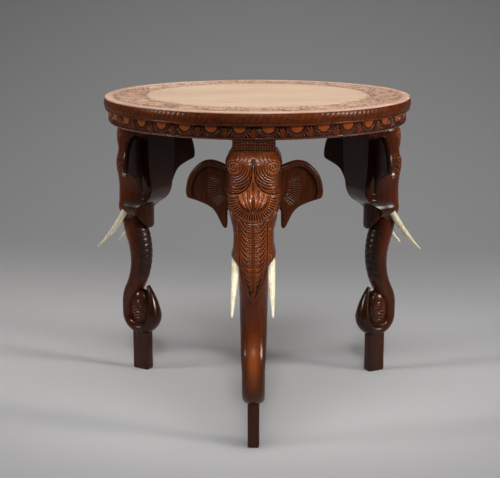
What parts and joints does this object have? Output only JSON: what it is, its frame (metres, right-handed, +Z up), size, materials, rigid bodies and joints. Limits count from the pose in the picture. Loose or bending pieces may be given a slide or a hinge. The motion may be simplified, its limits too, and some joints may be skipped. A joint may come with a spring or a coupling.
{
  "type": "carved elephant coffee table",
  "caption": "Round carved hardwood coffee table on elephant-head legs, with bone tusks, board ears and trunks that curl up above plain foot stubs.",
  "frame": {"origin": "on the floor, under the centre of the round top", "axes": "+Z up, -Y out through the front leg's elephant head, +X to the right of a viewer who faces that leg"},
  "size_m": [0.6472, 0.634, 0.5732],
  "materials": {
    "top_wood": "waxed, worn pale in the middle",
    "dark_wood": "stained reddish brown, waxed, semi-gloss",
    "bone": "polished bone",
    "pupil": "polished horn",
    "steel": "dulled"
  },
  "bodies": {
    "root": {"top_board": "top_wood", "apron_front": "dark_wood", "apron_front_right": "dark_wood", "apron_right": "dark_wood", "apron_back": "dark_wood", "apron_left": "dark_wood", "apron_front_left": "dark_wood", "leg_front": "dark_wood", "ear_front_r": "dark_wood", "tusk_front_r": "bone", "eye_front_r": "bone", "ear_front_l": "dark_wood", "tusk_front_l": "bone", "eye_front_l": "bone", "leg_right": "dark_wood", "ear_right_r": "dark_wood", "tusk_right_r": "bone", "eye_right_r": "bone", "ear_right_l": "dark_wood", "tusk_right_l": "bone", "eye_right_l": "bone", "leg_left": "dark_wood", "ear_left_r": "dark_wood", "tusk_left_r": "bone", "eye_left_r": "bone", "ear_left_l": "dark_wood", "tusk_left_l": "bone", "eye_left_l": "bone", "eye_pupils": "pupil", "tenon_pegs": "dark_wood", "apron_splines": "dark_wood", "apron_screws": "steel"}
  },
  "joints": []
}
